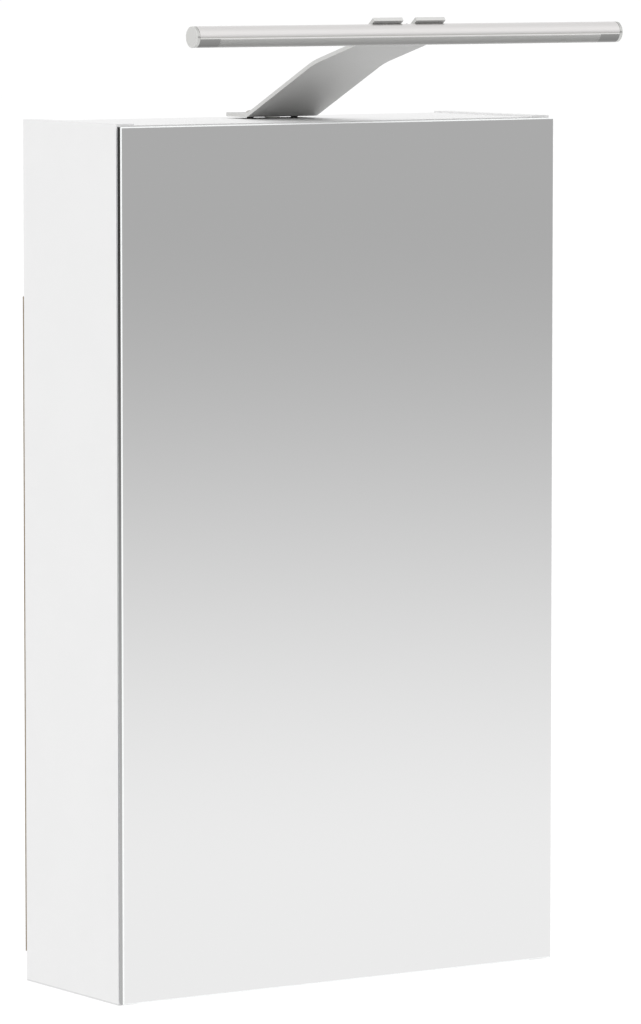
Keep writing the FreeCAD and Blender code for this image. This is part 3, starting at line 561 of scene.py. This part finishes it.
def screw_tree(name, material, domed):
    """Screw heads with a cross recess, one on each point: domed, or countersunk and flush."""
    number = "NodeSocketFloat"
    tree, given = new_tree(name, [("Radius", number), ("Height", number), ("Recess", number),
                                  ("Turn", "NodeSocketVector")])
    radius = given.outputs["Radius"]
    height = given.outputs["Height"]
    below = []
    if domed:
        ball = add(tree, "GeometryNodeMeshUVSphere", inputs={"Segments": 32, "Rings": 16, "Radius": radius})
        flat = add(tree, "ShaderNodeMath", {"operation": "DIVIDE"}, {0: height, 1: radius})
        scale = add(tree, "ShaderNodeCombineXYZ", inputs={"X": 1.0, "Y": 1.0, "Z": flat.outputs[0]})
        head = add(tree, "GeometryNodeTransform",
                   inputs={"Geometry": ball.outputs[0], "Scale": scale.outputs[0]})
        wide = add(tree, "ShaderNodeMath", {"operation": "MULTIPLY"}, {0: radius, 1: BLOCK_SPAN})
        size = add(tree, "ShaderNodeCombineXYZ", inputs={axis: wide.outputs[0] for axis in "XYZ"})
        cube = add(tree, "GeometryNodeMeshCube", inputs={"Size": size.outputs[0]})
        drop = add(tree, "ShaderNodeMath", {"operation": "MULTIPLY"}, {0: wide.outputs[0], 1: -0.5})
        down = add(tree, "ShaderNodeCombineXYZ", inputs={"Z": drop.outputs[0]})
        below.append(add(tree, "GeometryNodeTransform",
                         inputs={"Geometry": cube.outputs[0], "Translation": down.outputs[0]}).outputs[0])
    else:
        narrow = add(tree, "ShaderNodeMath", {"operation": "SUBTRACT"}, {0: radius, 1: height})
        head = add(tree, "GeometryNodeMeshCone", {"fill_type": "NGON"},
                   {"Vertices": 32, "Side Segments": 1, "Radius Top": radius,
                    "Radius Bottom": narrow.outputs[0], "Depth": height})
    span = add(tree, "ShaderNodeMath", {"operation": "MULTIPLY"}, {0: radius, 1: SLOT_SPAN})
    lift = add(tree, "ShaderNodeCombineXYZ", inputs={"Z": height})
    slots = []
    for first, second in ("XY", "YX"):
        size = add(tree, "ShaderNodeCombineXYZ",
                   inputs={first: span.outputs[0], second: given.outputs["Recess"], "Z": height})
        bar = add(tree, "GeometryNodeMeshCube", inputs={"Size": size.outputs[0]})
        slots.append(add(tree, "GeometryNodeTransform",
                         inputs={"Geometry": bar.outputs[0], "Translation": lift.outputs[0]}).outputs[0])
    cut = add(tree, "GeometryNodeMeshBoolean", {"operation": "DIFFERENCE", "solver": "EXACT"},
              {"Mesh 1": head.outputs[0]})
    for tool in slots + below:
        tree.links.new(tool, cut.inputs["Mesh 2"])
    spread = add(tree, "GeometryNodeInstanceOnPoints",
                 inputs={"Points": given.outputs["Geometry"], "Instance": cut.outputs[0],
                         "Rotation": given.outputs["Turn"]})
    close_tree(tree, spread.outputs[0], material)
    return tree


def set_screws(name, tree, points, radius, height, turn, body, *replaced):
    """Piece of like screws on the given points."""
    values = {"Radius": radius, "Height": height, "Recess": sizes().recess_width, "Turn": turn}
    link(name, grow(name, tree, points, values), body, "nickel_steel", *replaced)


# Operators: one for each piece or group of like pieces

class CABINET_OT_carcass(bpy.types.Operator):
    """Face the boards and nail the raw back panel on"""
    bl_idname = "cabinet.carcass"
    bl_label = "Carcass and back panel"

    def execute(self, context):
        dress(melamine_facing(), "side_left", "side_right", "top_board", "bottom_board", "rear_rail")
        dress(raw_hardboard(), "back_panel")
        dress(turned_beech(), "dowels")
        size = sizes()
        x_reach = sum(corner.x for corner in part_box("side_right")) / 2
        z0 = (BACK_LOW.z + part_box("bottom_board")[1].z) / 2
        z1 = (BACK_HIGH.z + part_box("rear_rail")[0].z) / 2
        xs = [x_reach * (2 * step / size.nails_across - 1) for step in range(size.nails_across + 1)]
        zs = [z0 + (z1 - z0) * step / size.nails_up for step in range(1, size.nails_up)]
        spots = [(x, z) for x in xs for z in (z0, z1)] + [(x, z) for x in (-x_reach, x_reach) for z in zs]
        points = [(x, BACK_HIGH.y - NAIL_SEAT, z) for x, z in spots]
        values = {"Radius": size.nail_head / 2, "Height": size.nail_height}
        heads = grow("back_nails", nail_tree(nickel_plate()), points, values)
        link("back_nails", heads, "cabinet", "nickel_steel")
        return {"FINISHED"}


class CABINET_OT_door(bpy.types.Operator):
    """Make the mirror with its polished edge and ground arris, and its film"""
    bl_idname = "cabinet.door"
    bl_label = "Mirror door"

    def execute(self, context):
        shape = bmesh.new()
        corners = [shape.verts.new((x, y, z)) for y in (DOOR_HIGH.y, DOOR_LOW.y)
                   for z in (DOOR_LOW.z, DOOR_HIGH.z) for x in (DOOR_LOW.x, DOOR_HIGH.x)]
        rings = ((0, 1, 3, 2), (4, 6, 7, 5), (0, 4, 5, 1), (2, 3, 7, 6), (0, 2, 6, 4), (1, 5, 7, 3))
        for ring in rings:
            shape.faces.new([corners[i] for i in ring])
        bmesh.ops.recalc_face_normals(shape, faces=shape.faces)
        front = [edge for edge in shape.edges if all(v.co.y < DOOR_LOW.y + MM for v in edge.verts)]
        made = bmesh.ops.bevel(shape, geom=front, offset=sizes().arris, offset_type="OFFSET", segments=1,
                               profile=0.5, affect="EDGES")
        for face in shape.faces:
            face.material_index = 0 if face.normal.y < -0.99 else 1
        for face in made["faces"]:
            face.material_index = 2
        mesh = bpy.data.meshes.new("mirror_glass")
        shape.to_mesh(mesh)
        shape.free()
        for material in (silvered_mirror(), polished_edge(), ground_arris()):
            mesh.materials.append(material)
        link("mirror_glass", mesh, "door", "mirror_glass", "mirror_pane")
        dress(safety_film(), "mirror_film")
        return {"FINISHED"}


class CABINET_OT_hinges(bpy.types.Operator):
    """Plate the hinges and set their cross-recess screws"""
    bl_idname = "cabinet.hinges"
    bl_label = "Hinges"

    def execute(self, context):
        nickel = nickel_plate()
        dress(nickel, "hinge_side_leaves", "hinge_door_leaves", "hinge_pins", "strike_plate")
        boxes = islands("hinge_screws")
        low, high = boxes[0]
        radius = (high.x - low.x) / 2 - SCREW_RIM
        height = radius / 2
        points = [((a.x + b.x) / 2, a.y + height, (a.z + b.z) / 2) for a, b in boxes]
        set_screws("hinge_screw_heads", screw_tree("flush_screws", nickel, False), points, radius, height,
                   FACING_FRONT, "cabinet", "hinge_screws")
        return {"FINISHED"}


class CABINET_OT_inside(bpy.types.Operator):
    """Finish the shelves, their pins, the magnet catch and the bumpers"""
    bl_idname = "cabinet.inside"
    bl_label = "Shelves and catch"

    def execute(self, context):
        dress(float_glass(), "shelf_lower", "shelf_upper")
        dress(nickel_plate(), "shelf_pins")
        dress(white_abs(), "catch_body")
        dress(sintered_ferrite(), "catch_magnet")
        dress(cast_silicone(), "door_bumpers")
        low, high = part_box("catch_body")
        radius = sizes().catch_screw / 2
        y = (low.y + EAR_SET_BACK + high.y) / 2
        points = [(low.x + EAR_THICKNESS, y, z) for z in (low.z + EAR_LENGTH / 2, high.z - EAR_LENGTH / 2)]
        set_screws("catch_screws", screw_tree("catch_screw_heads", nickel_plate(), True), points, radius,
                   radius * DOME, FACING_RIGHT, "cabinet")
        return {"FINISHED"}


class CABINET_OT_lamp(bpy.types.Operator):
    """Finish the arm and the light bar, and set their screws"""
    bl_idname = "cabinet.lamp"
    bl_label = "Arm and light bar"

    def execute(self, context):
        nickel = nickel_plate()
        black = black_nylon()
        dress(silver_lacquer(), "lamp_arm")
        dress(black, "arm_spacers", "lamp_gland")
        dress(white_abs(), "lead_grommet")
        dress(anodised_bar(), "lamp_housing")
        dress(lens_strip(), "lamp_diffuser")
        dress(chrome_cap(), "lamp_cap_left", "lamp_cap_right")
        dress(solder_mask(), "led_board")
        dress(phosphor_dome(), "led_chips")
        tree = screw_tree("round_screws", nickel, True)
        boxes = islands("arm_screws")
        radius = (boxes[0][1].x - boxes[0][0].x) / 2
        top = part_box("lamp_arm")[0].z + ARM_SHEET
        points = [((a.x + b.x) / 2, (a.y + b.y) / 2, top) for a, b in boxes]
        set_screws("arm_screw_heads", tree, points, radius, radius * DOME, FACING_UP, "cabinet", "arm_screws")
        boxes = islands("bar_screws")
        radius = (boxes[0][1].x - boxes[0][0].x) / 2
        seat = BAR_AXIS + PRONG_TOP * Vector((0, math.sin(PRONG_ANGLE), math.cos(PRONG_ANGLE)))
        points = [((a.x + b.x) / 2, seat.y, seat.z) for a, b in boxes]
        set_screws("bar_screw_heads", tree, points, radius, radius * DOME, Vector((-PRONG_ANGLE, 0, 0)),
                   "cabinet", "bar_screws")
        return {"FINISHED"}


class CABINET_OT_switch(bpy.types.Operator):
    """Finish the switch box, its rocker and the driver"""
    bl_idname = "cabinet.switch"
    bl_label = "Switch box"

    def execute(self, context):
        dress(white_abs(), "switch_box", "switch_cover", "switch_rocker")
        dress(nickel_plate(), "switch_axle")
        dress(black_nylon(), "led_driver")
        low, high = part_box("switch_cover")
        inset = sizes().cover_screw_inset
        radius = sizes().cover_screw / 2
        points = [(x, low.y, (low.z + high.z) / 2) for x in (low.x + inset, high.x - inset)]
        set_screws("cover_screws", screw_tree("cover_screw_heads", nickel_plate(), True), points, radius,
                   radius * DOME, FACING_FRONT, "cabinet")
        return {"FINISHED"}


def horizon(tree, height, floor, wall, low, high, rise):
    """Level of a view by its height: floor, then wall, and brighter by rise from the height low to high."""
    ground = add(tree, "ShaderNodeMapRange", SMOOTH,
                 {"Value": height, "From Min": FLOOR_END, "From Max": WALL_START,
                  "To Min": floor, "To Max": wall})
    sky = add(tree, "ShaderNodeMapRange", SMOOTH,
              {"Value": height, "From Min": low, "From Max": high, "To Min": 0.0, "To Max": rise})
    return add(tree, "ShaderNodeMath", {"operation": "ADD"},
               {0: ground.outputs[0], 1: sky.outputs[0]}).outputs[0]


def studio_world():
    """Even white light; what mirrors the room sees white, a grey front and a dark card at the rear left."""
    world = bpy.data.worlds.new("studio")
    world.use_nodes = True
    tree = world.node_tree
    tree.nodes.clear()
    way = add(tree, "ShaderNodeTexCoord").outputs["Generated"]
    parts = add(tree, "ShaderNodeSeparateXYZ", inputs={"Vector": way})
    height = parts.outputs["Z"]
    ahead = horizon(tree, height, floor=0.937, wall=0.453, low=0.0, high=0.22, rise=0.55)
    rear = add(tree, "ShaderNodeMapRange", SMOOTH,
               {"Value": height, "From Min": 0.2, "From Max": 0.7, "To Min": 0.97, "To Max": 0.83})
    front = add(tree, "ShaderNodeMapRange", SMOOTH,
                {"Value": parts.outputs["Y"], "From Min": FRONT_END, "From Max": REAR_START,
                 "To Min": 0.0, "To Max": 1.0})
    open_room = add(tree, "ShaderNodeMix", {"data_type": "FLOAT"},
                    {0: front.outputs[0], 2: ahead, 3: rear.outputs[0]})
    card = horizon(tree, height, floor=0.55, wall=0.05, low=0.02, high=0.12, rise=0.92)
    across = add(tree, "ShaderNodeVectorMath", {"operation": "DOT_PRODUCT"}, {0: way, 1: CARD_ACROSS})
    away = add(tree, "ShaderNodeMath", {"operation": "ABSOLUTE"}, {0: across.outputs["Value"]})
    width = add(tree, "ShaderNodeMapRange", SMOOTH,
                {"Value": away.outputs[0], "From Min": CARD_HALF, "From Max": CARD_FADE,
                 "To Min": 1.0, "To Max": 0.0})
    behind = add(tree, "ShaderNodeMath", {"operation": "GREATER_THAN"}, {0: parts.outputs["Y"], 1: 0.0})
    inside = add(tree, "ShaderNodeMath", {"operation": "MULTIPLY"},
                 {0: width.outputs[0], 1: behind.outputs[0]})
    room = add(tree, "ShaderNodeMix", {"data_type": "FLOAT"},
               {0: inside.outputs[0], 2: open_room.outputs[0], 3: card})
    even = add(tree, "ShaderNodeMapRange",
               inputs={"Value": height, "From Min": -0.6, "From Max": 1.0, "To Min": 0.94, "To Max": 1.16})
    ray = add(tree, "ShaderNodeLightPath")
    level = add(tree, "ShaderNodeMix", {"data_type": "FLOAT"},
                {0: ray.outputs["Is Glossy Ray"], 2: even.outputs[0], 3: room.outputs[0]})
    light = add(tree, "ShaderNodeBackground", inputs={"Color": (1, 1, 1, 1), "Strength": level.outputs[0]})
    add(tree, "ShaderNodeOutputWorld", inputs={"Surface": light.outputs[0]})
    return world


def floor_paint():
    """Matt white paint, rolled: pale and even."""
    return finish("floor_paint_rolled", linear("#fbfbfb"), linear("#f8f8f8"), size=400, rough=(0.86, 0.94))


class CABINET_OT_stage(bpy.types.Operator):
    """Set the floor, the light and the camera"""
    bl_idname = "cabinet.stage"
    bl_label = "Stage"

    camera_place = (-2.6559, -4.1468, 0.2433)
    camera_pitch = math.radians(5.462)
    camera_yaw = math.radians(33.364)
    camera_lens = 219.1
    floor_half = 30.0

    def execute(self, context):
        scene = context.scene
        side = self.floor_half
        level = CAD_BOX[0].z - sizes().floor_drop
        mesh = bpy.data.meshes.new("floor")
        corners = [(-side, -side, level), (side, -side, level), (side, side, level), (-side, side, level)]
        mesh.from_pydata(corners, [], [(0, 1, 2, 3)])
        mesh.materials.append(floor_paint())
        floor = bpy.data.objects.new("floor", mesh)
        scene.collection.objects.link(floor)
        floor.visible_glossy = False
        scene.world = studio_world()
        data = bpy.data.cameras.new("camera")
        data.lens = self.camera_lens
        data.clip_end = 200.0
        camera = bpy.data.objects.new("camera", data)
        camera.location = self.camera_place
        camera.rotation_euler = (math.pi / 2 - self.camera_pitch, 0, -self.camera_yaw)
        scene.collection.objects.link(camera)
        scene.camera = camera
        scene.view_settings.view_transform = "Standard"
        return {"FINISHED"}


OPERATORS = (CABINET_OT_carcass, CABINET_OT_door, CABINET_OT_hinges, CABINET_OT_inside, CABINET_OT_lamp,
             CABINET_OT_switch, CABINET_OT_stage)


class CABINET_PT_panel(bpy.types.Panel):
    """Lists the steps and settings of the cabinet"""
    bl_idname = "CABINET_PT_panel"
    bl_label = "Mirror cabinet"
    bl_space_type = "VIEW_3D"
    bl_region_type = "UI"
    bl_category = "Cabinet"

    def draw(self, context):
        for operator in OPERATORS:
            self.layout.operator(operator.bl_idname)
        for group in (context.scene.cabinet_colours, context.scene.cabinet_sizes):
            for key in group.__annotations__:
                self.layout.prop(group, key)


CLASSES = (CabinetColours, CabinetSizes, *OPERATORS, CABINET_PT_panel)


def register():
    """Register the classes and hang the settings on the scene."""
    for item in CLASSES:
        bpy.utils.register_class(item)
    bpy.types.Scene.cabinet_colours = bpy.props.PointerProperty(type=CabinetColours)
    bpy.types.Scene.cabinet_sizes = bpy.props.PointerProperty(type=CabinetSizes)


def unregister():
    """Take the settings and the classes away."""
    del bpy.types.Scene.cabinet_colours
    del bpy.types.Scene.cabinet_sizes
    for item in reversed(CLASSES):
        bpy.utils.unregister_class(item)


def main():
    """Run every step in order."""
    register()
    for operator in OPERATORS:
        group, name = operator.bl_idname.split(".")
        getattr(getattr(bpy.ops, group), name)()


if __name__ == "__main__":
    main()
